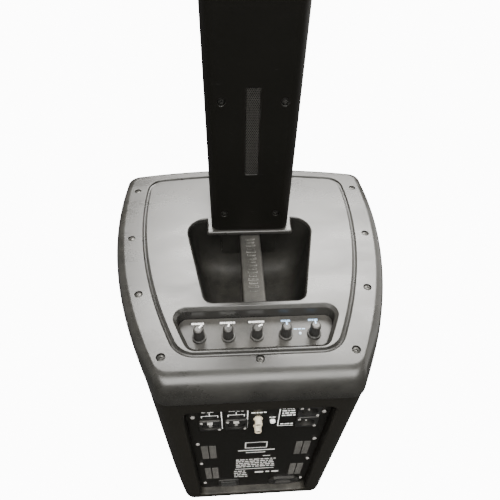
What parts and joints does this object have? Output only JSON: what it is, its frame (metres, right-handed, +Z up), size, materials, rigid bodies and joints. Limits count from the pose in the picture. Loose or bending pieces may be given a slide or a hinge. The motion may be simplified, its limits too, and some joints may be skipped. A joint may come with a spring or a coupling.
{
  "type": "column loudspeaker system",
  "caption": "Powered bass cabinet with a recessed mixer, grip well and rear connector plate, carrying a slim plug-in column of small drivers that lifts apart in two sections.",
  "frame": {"origin": "on the floor, at the middle of the cabinet's bounding box", "axes": "+Z up; -Y is the grille side that faces the audience; +Y is the side of the connector plate; X runs across"},
  "size_m": [0.36, 0.368, 2.0096],
  "materials": {
    "cap_black": "satin moulded black",
    "body_black": "fine textured black",
    "board_black": "black stained board",
    "column_black": "satin black",
    "handle_grey": "worn satin dark grey",
    "mesh_black": "black perforated steel",
    "plate_black": "black powder coat",
    "jack_black": "black moulded",
    "rubber_black": "matt",
    "cone_black": "coated paper cone",
    "driver_black": "black frame and cone",
    "steel": "plain",
    "magnet_grey": "black ferrite and plated steel",
    "aluminium": "plain extruded",
    "gold_plate": "gold plated",
    "circuit_green": "circuit board",
    "lens_blue": "clear light guide"
  },
  "bodies": {
    "base": {"cabinet_shell": "body_black", "front_baffle": "board_black", "front_grille": "mesh_black", "top_cap": "cap_black", "well_liner": "body_black", "handle_bar": "handle_grey", "column_socket": "body_black", "mixer_plate": "plate_black", "mixer_board": "circuit_green", "level_pot_1": "steel", "level_pot_2": "steel", "level_pot_3": "steel", "level_pot_4": "steel", "level_pot_5": "steel", "status_lens": "lens_blue", "amp_plate": "plate_black", "amp_board": "circuit_green", "heat_sink": "aluminium", "power_supply": "steel", "combo_jack_1": "jack_black", "combo_jack_2": "jack_black", "phono_pair": "gold_plate", "output_socket_1": "jack_black", "output_socket_2": "jack_black", "mains_inlet": "jack_black", "rocker_frame": "jack_black", "woofer_frame": "steel", "woofer_magnet": "magnet_grey", "woofer_surround": "rubber_black", "port_tube": "jack_black", "foot_1": "rubber_black", "foot_2": "rubber_black", "foot_3": "rubber_black", "foot_4": "rubber_black"},
    "knob_1": {"level_knob_1": "column_black"},
    "knob_2": {"level_knob_2": "column_black"},
    "knob_3": {"level_knob_3": "column_black"},
    "knob_4": {"level_knob_4": "column_black"},
    "knob_5": {"level_knob_5": "column_black"},
    "latch_1": {"combo_latch_1": "steel"},
    "latch_2": {"combo_latch_2": "steel"},
    "pair_button": {"pairing_button": "jack_black"},
    "rocker": {"power_rocker": "jack_black"},
    "cone": {"woofer_cone": "cone_black"},
    "lower_column": {"lower_front_casing": "column_black", "lower_rear_casing": "column_black", "vent_strip": "mesh_black", "lower_spigot": "column_black", "lower_top_socket": "column_black"},
    "upper_column": {"array_casing": "column_black", "driver_board": "jack_black", "array_grille": "mesh_black", "array_driver_1": "driver_black", "array_driver_2": "driver_black", "array_driver_3": "driver_black", "array_driver_4": "driver_black", "array_driver_5": "driver_black", "array_driver_6": "driver_black", "array_cap": "column_black", "array_spigot": "column_black"}
  },
  "joints": [
    {"name": "knob_1_turn", "type": "hinge", "parent": "base", "child": "knob_1", "pos_m": [0.06388, 0.1121, 0.3656], "axis": [0, 0, 1], "range_deg": [-112, 188]},
    {"name": "knob_2_turn", "type": "hinge", "parent": "base", "child": "knob_2", "pos_m": [0.03194, 0.1121, 0.3656], "axis": [0, 0, 1], "range_deg": [-138, 162]},
    {"name": "knob_3_turn", "type": "hinge", "parent": "base", "child": "knob_3", "pos_m": [0, 0.1121, 0.3656], "axis": [0, 0, 1], "range_deg": [-90, 210]},
    {"name": "knob_4_turn", "type": "hinge", "parent": "base", "child": "knob_4", "pos_m": [-0.03194, 0.1121, 0.3656], "axis": [0, 0, 1], "range_deg": [-150, 150]},
    {"name": "knob_5_turn", "type": "hinge", "parent": "base", "child": "knob_5", "pos_m": [-0.06388, 0.1121, 0.3656], "axis": [0, 0, 1], "range_deg": [-154, 146]},
    {"name": "latch_1_press", "type": "slide", "parent": "base", "child": "latch_1", "axis": [0, -1, 0], "range_m": [0, 0.0025], "stiffness_N_per_m": 400},
    {"name": "latch_2_press", "type": "slide", "parent": "base", "child": "latch_2", "axis": [0, -1, 0], "range_m": [0, 0.0025], "stiffness_N_per_m": 400},
    {"name": "pair_button_press", "type": "slide", "parent": "base", "child": "pair_button", "axis": [0, -1, 0], "range_m": [0, 0.001], "stiffness_N_per_m": 400},
    {"name": "power_rocker_tilt", "type": "hinge", "parent": "base", "child": "rocker", "pos_m": [0.038, 0.1717, 0.05], "axis": [-1, 0, 0], "range_deg": [0, 16]},
    {"name": "cone_travel", "type": "slide", "parent": "base", "child": "cone", "axis": [0, -1, 0], "range_m": [-0.006, 0.006], "stiffness_N_per_m": 3000},
    {"name": "lower_column_lift", "type": "slide", "parent": "base", "child": "lower_column", "axis": [0, 0, 1], "range_m": [0, 0.06]},
    {"name": "upper_column_lift", "type": "slide", "parent": "lower_column", "child": "upper_column", "axis": [0, 0, 1], "range_m": [0, 0.06]}
  ]
}
